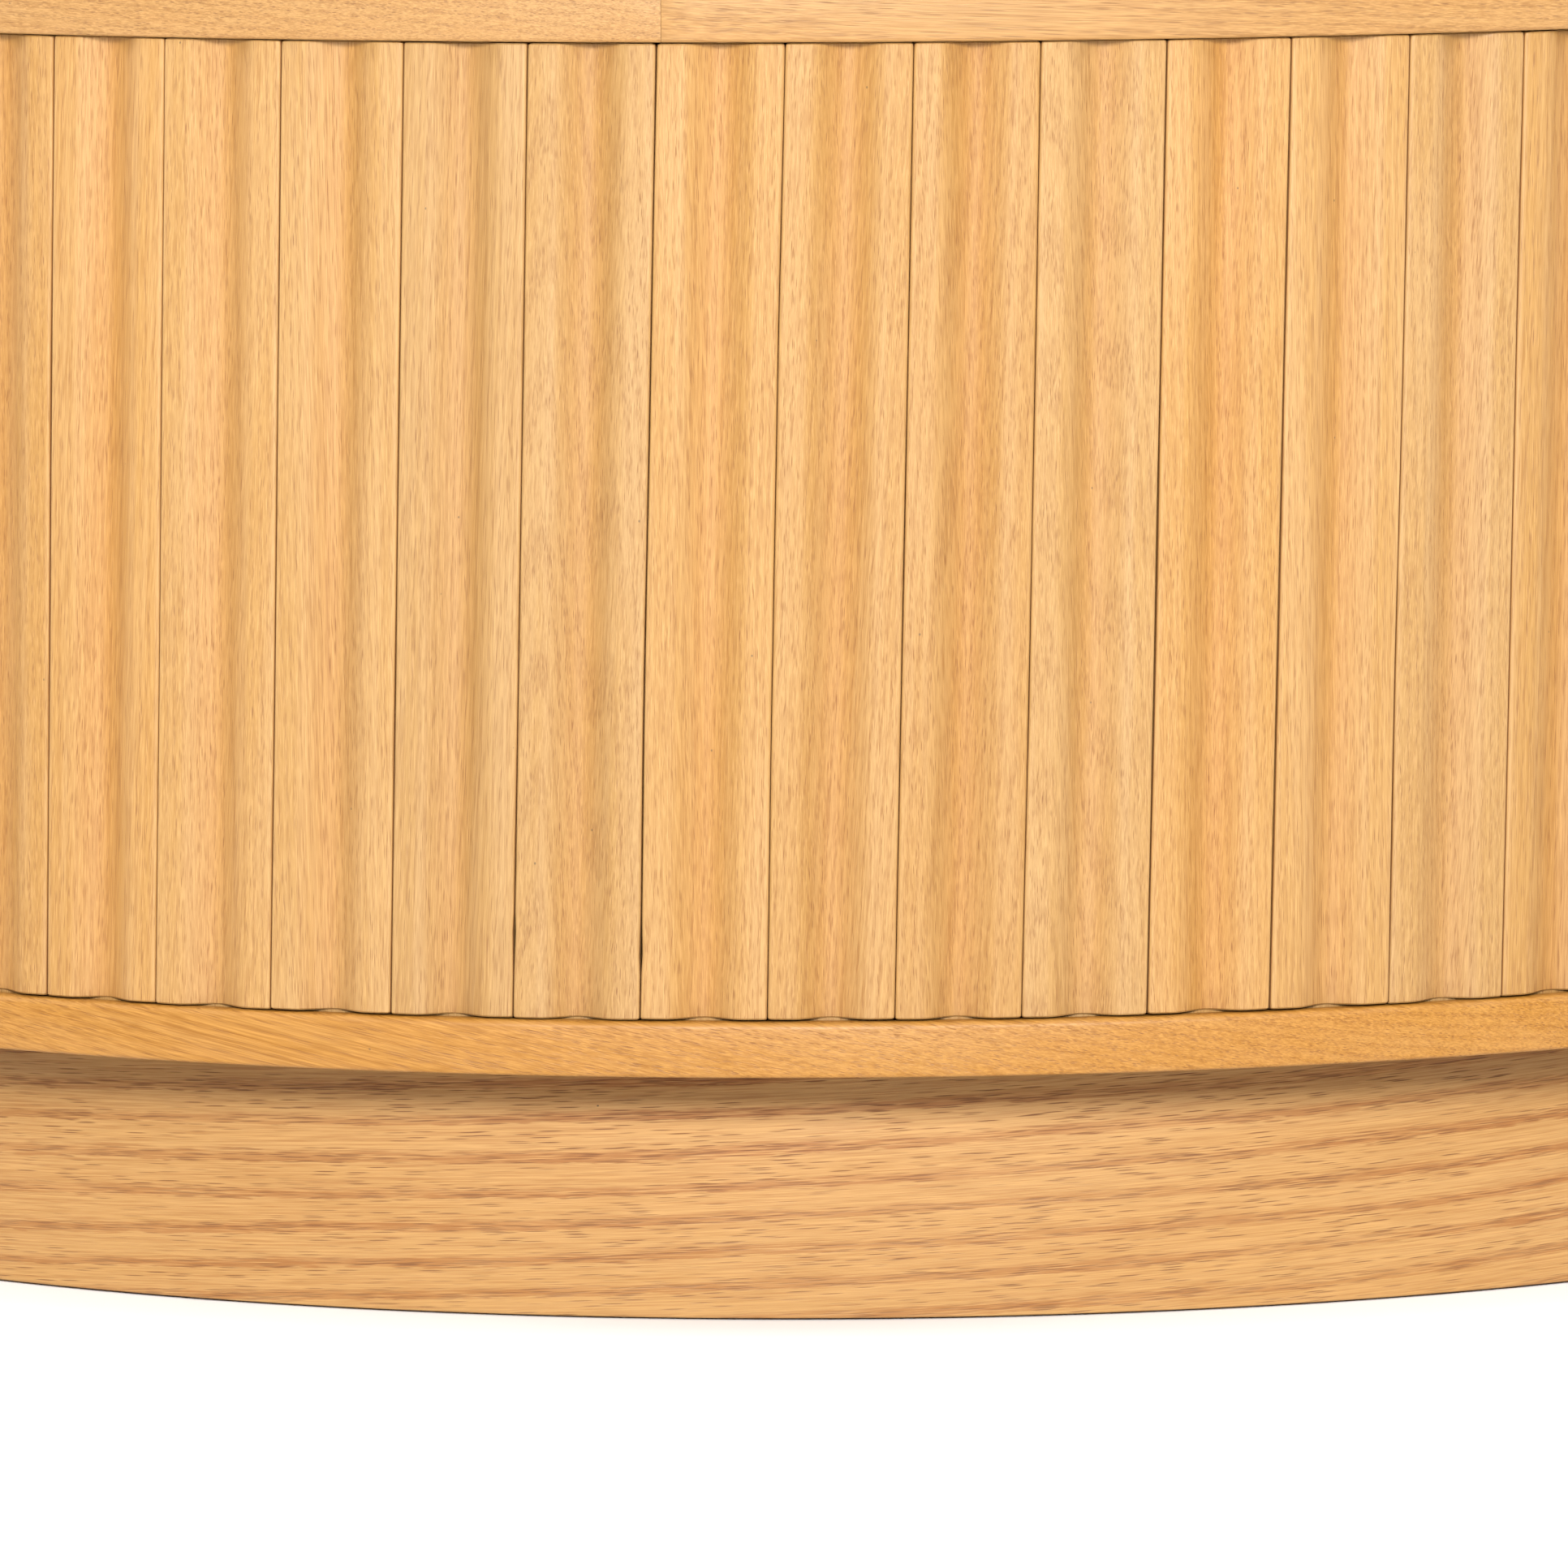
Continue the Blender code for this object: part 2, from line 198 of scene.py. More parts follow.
def lofted(name, sections, grain, tone=0.5, wear_sheen_and_shade=0.0):
    """A closed mesh through equal sections, with its wood coordinates, tone, and marks of rubbing,
    painted highlight and painted shade at each point.
    """
    count, around = sections.shape[:2]
    index = np.arange(count * around).reshape(count, around)
    faces = [index[0][::-1].tolist(), index[-1].tolist()]
    for low, high in zip(index, index[1:]):
        for i in range(around):
            j = (i + 1) % around
            faces.append((int(low[i]), int(low[j]), int(high[j]), int(high[i])))
    mesh = bpy.data.meshes.new(name)
    mesh.from_pydata(sections.reshape(-1, 3).tolist(), [], faces)
    outward = bmesh.new()
    outward.from_mesh(mesh)
    bmesh.ops.recalc_face_normals(outward, faces=outward.faces)
    outward.to_mesh(mesh)
    outward.free()
    store(mesh, grain.reshape(-1, 3), tone, wear_sheen_and_shade)
    for face in mesh.polygons:
        face.use_smooth = True
    mesh.set_sharp_from_angle(angle=math.radians(32))
    obj = bpy.data.objects.new(name, mesh)
    bpy.context.scene.collection.objects.link(obj)
    return obj


def store(mesh, grain, tone, wear_sheen_and_shade):
    """Writes the wood's coordinates, its tone, and its marks of rubbing, painted highlight and painted
    shade as attributes.
    """
    count = len(mesh.vertices)
    held = mesh.attributes.new("wood", "FLOAT_VECTOR", "POINT")
    held.data.foreach_set("vector", np.ascontiguousarray(grain, np.float32).ravel())
    for name, value in (("tone", tone), ("wear_sheen_and_shade", wear_sheen_and_shade)):
        held = mesh.attributes.new(name, "FLOAT", "POINT")
        whole = np.broadcast_to(np.asarray(value, np.float32).ravel(), count)
        held.data.foreach_set("value", np.ascontiguousarray(whole))


def grown(across, depth, along, heart, tilt=(0.0, 0.0)):
    """Wood coordinates of a board, cut at an offset from the tree's heart and tilted to its grain.

    heart holds the offset across and in depth, and a place along the tree.
    """
    across, depth, along = np.broadcast_arrays(across, depth, along)
    sideways = across + heart[0] + tilt[0] * along
    inwards = depth + heart[1] + tilt[1] * along
    return np.stack([sideways, inwards, along + heart[2]], -1)


def slat_tilt():
    """How a slat's grain drifts along it: sideways, and inwards."""
    return (DRAWS.uniform(-0.03, 0.03), DRAWS.uniform(0.02, 0.06))


def straight_heart():
    """A board well off the heart, with nearly straight lines on its face."""
    side = DRAWS.choice((-1, 1))
    return (side * DRAWS.uniform(0.03, 0.11), DRAWS.uniform(0.01, 0.06), DRAWS.uniform(0, 40))


def crown_heart():
    """A board cut across the heart side, with arches on its face."""
    side = DRAWS.choice((-1, 1))
    return (side * DRAWS.uniform(0.006, 0.016), DRAWS.uniform(0.015, 0.03), DRAWS.uniform(0, 40))


def flute(x):
    """Depth of the slat's face under its ridge, at x across it."""
    hollow = (0.5 + 0.5 * np.cos(np.pi * np.clip(np.abs(x) / FLUTE_HALF, 0, 1))) ** 0.9
    roll = np.clip((np.abs(x) - FLUTE_HALF) / (SLAT_HALF - FLUTE_HALF), 0, 1) ** 2
    return FLUTE_DEPTH * hollow + SHOULDER_ROLL * roll


def pull(x):
    """The lead stile's: a deep finger hollow, then a raised lip along its outer edge."""
    u = x / SLAT_HALF
    hollow = (0.5 + 0.5 * np.cos(np.pi * np.clip(np.abs(u + 0.15) / 0.60, 0, 1))) ** 0.8
    rise = np.clip((u - 0.30) / 0.20, 0, 1)
    return PULL_DEPTH * hollow - LIP_HEIGHT * rise * rise * (3 - 2 * rise)


def rubbing_sheen_and_hollow_shade(x, depth):
    """Rubbing and painted light across a slat: 1 at its edges, for rubbing, a painted highlight and
    painted seam shade, and down to -1 in the hollow, for painted shade.
    """
    near = np.clip(1 - (SLAT_HALF - np.abs(x)) / (1.8 * SLAT_ARRIS), 0, 1)
    return near - np.clip(depth / FLUTE_DEPTH, 0, 1) * (near == 0)


def front_stations(points):
    """Places across a slat's face with the depth of each eased edge added."""
    turn = np.linspace(0, math.pi / 2, 5)
    edge_x = -SLAT_HALF + SLAT_ARRIS * (1 - np.cos(turn))
    edge_depth = SLAT_ARRIS * (1 - np.sin(turn))
    middle = np.linspace(-SLAT_HALF + 2 * SLAT_ARRIS, SLAT_HALF - 2 * SLAT_ARRIS, points)
    x = np.concatenate([edge_x, middle, -edge_x[::-1]])
    eased = np.concatenate([edge_depth, np.zeros(points), edge_depth[::-1]])
    return x, eased


def seam_lines():
    """For each seam of the door: its wander, its mean width, its spread, and a chip's place if any."""
    seams = []
    for i in range(DOOR_PLACES + 1):
        width = DRAWS.uniform(*(CLOSED_SEAM if i in CLOSED_SEAMS else OPEN_SEAM))
        spread = wavering(SEAM_SPREAD * width, 7)
        wander = wavering(SEAM_WANDER, 4)
        chip_place = DRAWS.uniform(*CHIP_PLACE)
        seams.append((wander, width, spread, chip_place if i in CHIPPED_SEAMS else None))
    return seams


def seam_edges(seam, place, heights):
    """Angles of the two sides of a seam at each height."""
    wander, width, spread, chip_place = seam
    share = (heights - SLAT_BOTTOM) / (SLAT_TOP - SLAT_BOTTOM)
    centre = place * PLACE - DOOR_HALF + wander(share) / RIDGE
    opening = width + spread(share)
    if chip_place is not None:
        opening = opening + CHIP * np.exp(-(((share - chip_place) / CHIP_REACH) ** 2))
    half = np.maximum(opening, LEAST_SEAM) / 2 / RIDGE
    return centre - half, centre + half


def slat_tongues(place, x, low, high):
    """The rows of points of a slat's tongues, two under its body and two over it.

    The body runs from low to high.
    """
    half = PLACE / 2 - (OPEN_SEAM[1] / 2 + TONGUE_SIDE_INSET) / RIDGE
    centre = (place + 0.5) * PLACE - DOOR_HALF
    rows = []
    for height in (TONGUE_LOW, low, high, TONGUE_HIGH):
        tip = polar(TONGUE_FRONT, centre + x / SLAT_HALF * half, height, SLAT_LEAN)
        heel = polar(TONGUE_BACK, centre + np.array([half, -half]), height, SLAT_LEAN)
        rows.append(np.concatenate([tip, heel])[None])
    return rows


def slat(name, place, seams, face, mirrored=False, crown=False):
    """One slat of the door, from its bottom tongue to its top tongue."""
    x, eased = front_stations(SLAT_POINTS)
    drop = DRAWS.uniform(0.0, END_SPREAD, 2)
    low = SLAT_BOTTOM - END_REACH[0] + drop[0]
    high = SLAT_TOP + END_REACH[1] - drop[1]
    body = np.linspace(low + BODY_INSET[0], high - BODY_INSET[1], SLAT_ROWS)
    heights = np.concatenate([[low, low + END_EASE], body, [high - END_EASE, high]])
    left = seam_edges(seams[place], place, heights)[1]
    right = seam_edges(seams[place + 1], place + 1, heights)[0]
    middle = (left + right) / 2
    half = (right - left) / 2
    stand = DRAWS.uniform(-STAND_BACK, 0.0) + wavering(SLAT_BOW)(np.linspace(0, 1, len(heights)))

    depth = face(-x if mirrored else x) + eased
    end = np.zeros(len(heights))
    end[[0, -1]] = END_EASE
    clip = np.zeros(len(heights))
    clip[-2:] = np.array([0.25, 1.0]) * CORNER_CLIP * DRAWS.uniform(*TOP_CLIPS)
    clip[:2] = np.array([1.0, 0.2]) * CORNER_CLIP * DRAWS.uniform(*BOTTOM_CLIPS)
    radius = RIDGE + stand[:, None] - depth[None, :] - end[:, None]
    width = (half - clip / RIDGE)[:, None]
    angle = middle[:, None] + x[None, :] / SLAT_HALF * width
    front = polar(radius, angle, heights[:, None], SLAT_LEAN)
    back_angle = np.stack([middle + half, middle - half], -1)
    back = polar(SLAT_BACK, back_angle, heights[:, None], SLAT_LEAN)
    rows = np.concatenate([front, back], 1)
    tongues = slat_tongues(place, x, low, high)
    sections = np.concatenate([*tongues[:2], rows, *tongues[2:]])

    across = np.concatenate([x, [SLAT_HALF, -SLAT_HALF]])
    inward = RIDGE - np.linalg.norm(sections[..., :2], axis=-1)
    heart = crown_heart() if crown else straight_heart()
    grain = grown(across[None, :], inward, sections[..., 2], heart, slat_tilt())
    # Pale edges and paler end rows stand for rubbing and a painted highlight; the outermost edges also
    # get painted seam shade, and the hollow painted shade.
    wear_sheen_and_shade = np.zeros(sections.shape[:2])
    wear_sheen_and_shade[:, : len(x)] = rubbing_sheen_and_hollow_shade(x, depth - eased)[None, :]
    wear_sheen_and_shade[[2, -3], :] = END_RUBBING_AND_SHEEN
    wear_sheen_and_shade[[0, 1, -2, -1], :] = 0
    return lofted(name, sections, grain, DRAWS.uniform(0, 1), wear_sheen_and_shade)


def fluted_wall(name, turn, first, last):
    """One bent length of the fixed wall, worked as a row of slats with shut seams.

    The seams lean, so the first and the last length widen to meet their upright doorway post.
    """
    x, eased = front_stations(WALL_POINTS)
    share = x / SLAT_HALF * (1 - WALL_SEAM / SLAT_HALF)
    heights = np.array(
        [CARCASS_LOW, CARCASS_LOW + END_EASE, MID_HEIGHT, CARCASS_HIGH - END_EASE, CARCASS_HIGH]
    )
    end = np.array([END_EASE, 0, 0, 0, END_EASE])
    radius = WALL_RIDGE - flute(x)[None, :] - eased[None, :] - end[:, None]
    trim = JOINT_GAP / 2 / WALL_BACK
    reach = (trim, WALL_PLACES * PLACE - trim)
    lean = SLAT_LEAN * (heights - MID_HEIGHT) / RIDGE
    before = (lean + lean.max())[:, None] * first
    after = (lean.max() - lean)[:, None] * last
    # Pale edges for rubbing and a painted highlight, painted seam shade at the outermost edges, and
    # painted shade in the hollows.
    wear_sheen_and_shade = rubbing_sheen_and_hollow_shade(x, flute(x))
    parts, grains, tones, wear_sheen_and_shade_rows = [], [], [], []
    for i in range(WALL_PLACES):
        angle = np.clip((i + 0.5 + share / 2) * PLACE, *reach) + turn
        angle = angle[None, :] - before * (1 - share) / 2 * (i == 0)
        angle = angle + after * (1 + share) / 2 * (i == WALL_PLACES - 1)
        parts.append(polar(radius, angle, heights[:, None], SLAT_LEAN))
        tilt = slat_tilt()
        heart = crown_heart() if DRAWS.uniform() < CROWN_WALL_SLATS else straight_heart()
        grains.append(grown(x[None, :], WALL_RIDGE - radius, heights[:, None], heart, tilt))
        tones.append(np.full(radius.shape, DRAWS.uniform(0, 1)))
        wear_sheen_and_shade_rows.append(np.broadcast_to(wear_sheen_and_shade, radius.shape))

    turns = np.clip(np.linspace(WALL_PLACES * PLACE, 0, 2 * WALL_PLACES + 1), *reach)
    angle = np.repeat(turns[None, :] + turn, len(heights), 0)
    angle[:, 0] += after[:, 0]
    angle[:, -1] -= before[:, 0]
    parts.append(polar(WALL_BACK, angle, heights[:, None], SLAT_LEAN))
    across = turns[None, :] * WALL_BACK
    grains.append(grown(across, WALL_THICKNESS, heights[:, None], straight_heart()))
    tones.append(np.full(angle.shape, 0.5))
    wear_sheen_and_shade_rows.append(np.zeros(angle.shape))
    joined = [np.concatenate(rows, 1) for rows in (parts, grains, tones, wear_sheen_and_shade_rows)]
    return lofted(name, *joined)


def rounded(corners):
    """An outline of (radius, height, round) corners as points, each corner rounded by that much."""
    points = []
    turns = np.linspace(0, 1, 5) * math.pi / 2
    for i, (radius, height, size) in enumerate(corners):
        here = np.array([radius, height])
        if size == 0:
            points.append(here)
            continue
        before = np.array(corners[i - 1][:2]) - here
        after = np.array(corners[(i + 1) % len(corners)][:2]) - here
        before /= np.linalg.norm(before)
        after /= np.linalg.norm(after)
        for turn in turns:
            inset = (1 - math.sin(turn)) * before + (1 - math.cos(turn)) * after
            points.append(here + size * inset)
    return np.array(points)


def ring_length(name, outline, start, end, steps, grain_of, wear_sheen_and_shade, tone):
    """An outline carried round the axis, with its butted ends eased a little."""
    trim = BUTT_GAP / 2 / outline[:, 0].min()
    ease = BUTT_EASE / RADIUS
    angles = np.linspace(start + trim + ease, end - trim - ease, steps + 1)
    angles = np.concatenate([[start + trim], angles, [end - trim]])
    centre = (outline.min(0) + outline.max(0)) / 2
    shapes = [outline] * len(angles)
    shapes[0] = centre + (outline - centre) * BUTT_SHRINK
    shapes[-1] = shapes[0]
    sections = np.stack([polar(s[:, 0], a, s[:, 1]) for s, a in zip(shapes, angles)])
    wear_sheen_and_shade = np.broadcast_to(wear_sheen_and_shade, sections.shape[:2])
    return lofted(name, sections, grain_of(sections), tone, wear_sheen_and_shade)


def sawn(middle, heart, slope, swing):
    """Wood coordinates of a length sawn from a straight board whose grain slopes along its face.

    The depth counts for less than it is, or the arc's ends would cross too many rings.
    """
    out = np.array([math.sin(middle), -math.cos(middle)])
    along_way = np.array([math.cos(middle), math.sin(middle)])

    def grain_of(points):
        along = points[..., :2] @ along_way
        depth = 0.3 * (RADIUS - points[..., :2] @ out)
        return grown(points[..., 2], depth, along, heart, (slope, swing))

    return grain_of


def bent(heart, slope):
    """Wood coordinates of a veneer wrapped round the drum."""

    def grain_of(points):
        angle = np.unwrap(np.arctan2(points[..., 0], -points[..., 1]), axis=0)
        inward = PLINTH_RADIUS - np.linalg.norm(points[..., :2], axis=-1)
        return grown(points[..., 2], inward, angle * PLINTH_RADIUS, heart, (slope, 0.0))

    return grain_of


def corner_rubbing_and_sheen(outline, corners):
    """1 at these corners of an outline, fading to 0 a little way off. Edges marked so are painted
    pale, for rubbing and a painted highlight.
    """
    gaps = [np.linalg.norm(outline - np.array(corner), axis=-1) for corner in corners]
    return np.clip(1 - np.min(gaps, 0) / RUBBING_AND_SHEEN_REACH, 0, 1)


def disc(name, low, high, heart, tone):
    """A round panel with eased edges, its wood running from side to side."""
    turns = np.linspace(0, 2 * math.pi, 360, endpoint=False)
    inner = PANEL_RADIUS - HIDDEN_EASE
    sizes = (
        (inner, low),
        (PANEL_RADIUS, low + HIDDEN_EASE),
        (PANEL_RADIUS, high - HIDDEN_EASE),
        (inner, high),
    )
    sections = np.stack([polar(radius, turns, height) for radius, height in sizes])
    grain = grown(sections[..., 1], high - sections[..., 2], sections[..., 0], heart)
    return lofted(name, sections, grain, tone)


def veneer_leaf(name, place, low, high):
    """One of the top's crown-cut leaves, which lie side by side and mirror each other."""
    width = 2 * PANEL_RADIUS / TOP_LEAVES
    start = -PANEL_RADIUS + place * width
    y = np.linspace(start + LEAF_GAP, start + width - LEAF_GAP, 60)
    x = np.sqrt(np.maximum(PANEL_RADIUS**2 - y**2, 1e-9))
    outline = np.column_stack([np.concatenate([x, -x[::-1]]), np.concatenate([y, y[::-1]])])
    sections = standing(outline, low, high)
    side = 1 if place % 2 else -1
    across = side * (sections[..., 1] - start - width / 2)
    heart = (0.012, 0.052, 5.0 + DRAWS.uniform(0, 0.02))
    grain = grown(across, high - sections[..., 2], sections[..., 0], heart, (0.015, 0.055))
    return lofted(name, sections, grain, DRAWS.uniform(0.35, 0.65))


def standing(outline, low, high):
    """Sections that raise an outline of (x, y) points from low to high."""
    return np.stack([np.column_stack([outline, np.full(len(outline), z)]) for z in (low, high)])


def block(name, outline, low, high, along, tone=0.5):
    """An upright board over an outline of (x, y) points. Its grain runs along x, y or z."""
    return eased_board(name, standing(outline, low, high), along, tone)


def rail(name, profile, half, deep):
    """A rail of a (length, height) profile, along y where deep is true and along x otherwise."""
    u, z = np.array(profile).T
    sides = []
    for side in (-half, half):
        flat = np.full(len(u), side)
        sides.append(np.stack([flat, u, z] if deep else [u, flat, z], -1))
    return eased_board(name, np.stack(sides), "y" if deep else "x", 0.4)


def eased_board(name, sections, along, tone):
    """A straight board with eased edges. Its grain runs along x, y or z."""
    order = {"x": (1, 2, 0), "y": (0, 2, 1), "z": (0, 1, 2)}[along]
    grain = grown(*(sections[..., axis] for axis in order), straight_heart(), (0.01, 0.02))
    made = lofted(name, sections, grain, tone)
    bevel = made.modifiers.new("eased", "BEVEL")
    bevel.width = BOARD_EASE
    bevel.segments = 2
    bevel.limit_method = "ANGLE"
    return made


def glide(name, node):
    """A round foot with a rounded lower edge and a small collar under the rail."""
    low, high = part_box(node)
    middle = (low + high) / 2
    radius = (high.x - low.x) / 2
    rise = np.array([0, 0.04, 0.12, 0.3, 0.62, 0.66, 0.97, 1.0]) * (high.z - low.z)
    size = np.array([0.86, 0.95, 1.0, 1.0, 0.96, 0.9, 0.9, 0.86]) * radius
    turns = np.linspace(0, 2 * math.pi, 48, endpoint=False)
    sections = np.stack([polar(r, turns, low.z + z) for r, z in zip(size, rise)])
    sections = sections + np.array([middle.x, middle.y, 0.0])
    return lofted(name, sections, sections)


# Materials

# How a wood looks unless WOODS says otherwise. A group of numbers is a range or a set of shares.
OAK = {
    "ring": 0.0021,  # metres from one year's growth to the next
    "band": (0.05, 0.30, 0.55),  # of a year: where its dark band is full, starts to fade and is gone
    "band_strength": 0.35,
    "warp": 0.9,  # slow waver of the rings, in years
    "ragged": 0.10,  # quick waver, in years
    "pores": (1250.0, 60.0, 0.20),  # dashes to a metre across the grain and along it, and their reach
    "pore_strength": 0.75,
    "ring_pores": (2300.0, 110.0, 0.50),  # the same, crowded into the dark bands
    "streak": 0.45,  # strength of the fine dark fibres
    "crisp": 0.55,  # strength of the hair-fine ones, dark and pale
    "speck": 0.6,
    "roughness": 0.48,
    "bump": 0.30,
    "tone_hue": (0.4985, 0.502),  # from one piece to another
    "tone_depth": (1.06, 1.00),
    "tone_value": (0.96, 1.04),
}
SLAT_LOOK = {
    "band_strength": 0.26,
    "pores": (2300.0, 60.0, 0.25),
    "pore_strength": 0.85,
    "ring_pores": (3600.0, 80.0, 0.36),
    "streak": 0.62,
    "crisp": 0.42,
}
LIPPING_LOOK = {
    "ring": 0.0030,
    "band_strength": 0.40,
    "pores": (1800.0, 60.0, 0.28),
    "pore_strength": 0.85,
    "ring_pores": (3000.0, 80.0, 0.40),
    "streak": 0.80,
    "crisp": 0.60,
    "roughness": 0.46,
    "tone_hue": (0.500, 0.505),
    "tone_depth": (1.12, 0.98),
    "tone_value": (0.96, 0.99),
}
VENEER_LOOK = {
    "ring": 0.0096,
    "band": (0.04, 0.20, 0.40),
    "band_strength": 0.92,
    "warp": 0.62,
    "ragged": 0.14,
    "pores": (1700.0, 70.0, 0.33),
    "pore_strength": 1.0,
    "ring_pores": (2100.0, 85.0, 0.50),
    "streak": 0.38,
    "crisp": 0.50,
    "speck": 0.9,
    "roughness": 0.56,
}
BOARD_LOOK = {"ring": 0.0045, "band_strength": 0.5, "roughness": 0.55, "bump": 0.35}

# Each wood's light, warm, dark and pore colours, and its look
WOODS = {
    "slat_oak": (
        ((0.325, 0.190, 0.073), (0.310, 0.172, 0.056), (0.226, 0.106, 0.031), (0.150, 0.056, 0.016)),
        SLAT_LOOK,
    ),
    "lipping_oak": (
        ((0.314, 0.162, 0.054), (0.298, 0.145, 0.043), (0.205, 0.086, 0.020), (0.130, 0.048, 0.013)),
        LIPPING_LOOK,
    ),
    "oak_veneer": (
        ((0.328, 0.184, 0.067), (0.315, 0.169, 0.057), (0.212, 0.078, 0.019), (0.104, 0.034, 0.009)),
        VENEER_LOOK,
    ),
    "wall_oak": (
        ((0.320, 0.186, 0.069), (0.308, 0.171, 0.055), (0.226, 0.106, 0.031), (0.150, 0.056, 0.016)),
        SLAT_LOOK,
    ),
    "carcass_board": (
        ((0.32, 0.195, 0.098), (0.30, 0.178, 0.082), (0.22, 0.110, 0.042), (0.13, 0.06, 0.025)),
        BOARD_LOOK,
    ),
}
DIRT = (0.045, 0.032, 0.02)
# Painted shade: dark red-brown laid on a slat's outermost edges and down its sides into the seams.
SEAM_SHADE = (0.185, 0.066, 0.020)
# Painted shade: a warm tint multiplied into the flutes' hollows, deepest at their floor.
HOLLOW_SHADE_TINT = (0.98, 0.80, 0.50)
LACQUER_GLOSS = 0.35


class Graph:
    """Short calls for building a material's nodes."""

    def __init__(self, name):
        self.material = bpy.data.materials.new(name)
        self.material.use_nodes = True
        self.tree = self.material.node_tree
        self.shader = self.tree.nodes["Principled BSDF"]

    def node(self, kind, inputs=(), **settings):
        made = self.tree.nodes.new("ShaderNode" + kind)
        for key, value in settings.items():
            setattr(made, key, value)
        for place, value in enumerate(inputs):
            self.set(made.inputs[place], value)
        return made

    def set(self, socket, value):
        """Links an output to the socket, or writes a constant into it."""
        if isinstance(value, bpy.types.NodeSocket):
            self.tree.links.new(value, socket)
        elif value is not None:
            socket.default_value = value

    def field(self, name, vector=False):
        """What the mesh stores under this name."""
        made = self.node("Attribute", attribute_name=name)
        return made.outputs["Vector" if vector else "Fac"]

    def math(self, operation, *inputs):
        return self.node("Math", inputs, operation=operation).outputs[0]

    def scaled(self, vector, scale):
        return self.node("VectorMath", (vector, scale), operation="MULTIPLY").outputs[0]

    def noise(self, vector, scale, detail=2.0, rough=0.5):
        """Noise with about so many cells to a metre across the grain, in depth and along it."""
        made = self.node("TexNoise")
        self.set(made.inputs["Vector"], self.scaled(vector, scale))
        made.inputs["Scale"].default_value = 1.0
        made.inputs["Detail"].default_value = detail
        made.inputs["Roughness"].default_value = rough
        return made.outputs["Fac"]

    def cells(self, vector, scale):
        """Cells, so many to a metre across the grain, in depth and along it."""
        made = self.node("TexVoronoi")
        self.set(made.inputs["Vector"], self.scaled(vector, scale))
        made.inputs["Scale"].default_value = 1.0
        return made.outputs

    def dashes(self, wood, across, along, reach):
        """Short dashes along the grain, so many to a metre across it and along it."""
        near = self.cells(wood, (across, across, along))["Distance"]
        return self.span(near, reach, reach * 0.45)

    def bumped(self, height, strength, distance):
        raised = self.node("Bump")
        raised.inputs["Strength"].default_value = strength
        raised.inputs["Distance"].default_value = distance
        self.set(raised.inputs["Height"], height)
        self.set(self.shader.inputs["Normal"], raised.outputs[0])

    def span(self, value, low, high, out_low=0.0, out_high=1.0):
        """value mapped smoothly from low..high to out_low..out_high, and held at the ends."""
        made = self.node("MapRange", (value, low, high, out_low, out_high))
        made.interpolation_type = "SMOOTHSTEP"
        return made.outputs[0]

    def mix(self, amount, first, second, way="MIX"):
        made = self.node("Mix", data_type="RGBA", blend_type=way)
        self.set(made.inputs["Factor"], amount)
        for socket, value in ((made.inputs[6], first), (made.inputs[7], second)):
            self.set(socket, (*value, 1.0) if isinstance(value, tuple) else value)
        return made.outputs[2]


def brighter(colour, times):
    """The colour that many times as bright, and no channel over 1."""
    return tuple(min(1.0, share * times) for share in colour)


def growth_bands(g, wood, look):
    """1 in the dark band of each year's growth and 0 elsewhere. The rings lie about the heart."""
    parts = g.node("SeparateXYZ", (wood,)).outputs
    across = g.math("MULTIPLY", parts[0], parts[0])
    out = g.math("SQRT", g.math("MULTIPLY_ADD", parts[1], parts[1], across))
    slow = g.noise(wood, (16.0, 16.0, 3.5), 2.0)
    quick = g.noise(wood, (1400.0, 1400.0, 110.0), 2.0)
    rings = g.math("DIVIDE", out, look["ring"])
    rings = g.math("MULTIPLY_ADD", slow, look["warp"] * 2, rings)
    rings = g.math("MULTIPLY_ADD", quick, look["ragged"] * 2, rings)
    phase = g.math("FRACT", rings)
    full, fading, gone = look["band"]
    return g.math("MULTIPLY", g.span(phase, 0.0, full), g.span(phase, gone, fading))


def fibre_colour(g, wood, bands, fine, hair, colours, look):
    """The wood's colour, from its broad clouds down to its hair-fine fibres."""
    light, warm, dark = colours
    broad = g.span(g.noise(wood, (130.0, 130.0, 4.0), 2.0), 0.36, 0.64)
    patch = g.noise(wood, (30.0, 30.0, 8.0), 3.0)
    strength = look["band_strength"]
    amount = g.span(patch, 0.3, 0.7, strength * 0.45, strength)
    colour = g.mix(broad, light, warm)
    colour = g.mix(g.math("MULTIPLY", bands, amount), colour, dark)
    colour = g.mix(g.span(fine, 0.48, 0.72, 0.0, look["streak"]), colour, dark)
    colour = g.mix(g.span(hair, 0.50, 0.66, 0.0, look["crisp"]), colour, dark)
    pale = brighter(light, 1.22)
    return g.mix(g.span(hair, 0.50, 0.34, 0.0, look["crisp"] * 1.4), colour, pale)


def pore_holes(g, wood, bands, look):
    """The pores: single dashes where they crowd, and packed ones in the dark bands."""
    crowd = g.span(g.noise(wood, (190.0, 190.0, 14.0), 2.0), 0.36, 0.56)
    crowd = g.math("MULTIPLY_ADD", crowd, 0.85, 0.15)
    single = g.math("MULTIPLY", g.dashes(wood, *look["pores"]), crowd)
    packed = g.math("MULTIPLY", g.dashes(wood, *look["ring_pores"]), bands)
    return g.math("MAXIMUM", single, g.math("MULTIPLY", packed, 0.75))


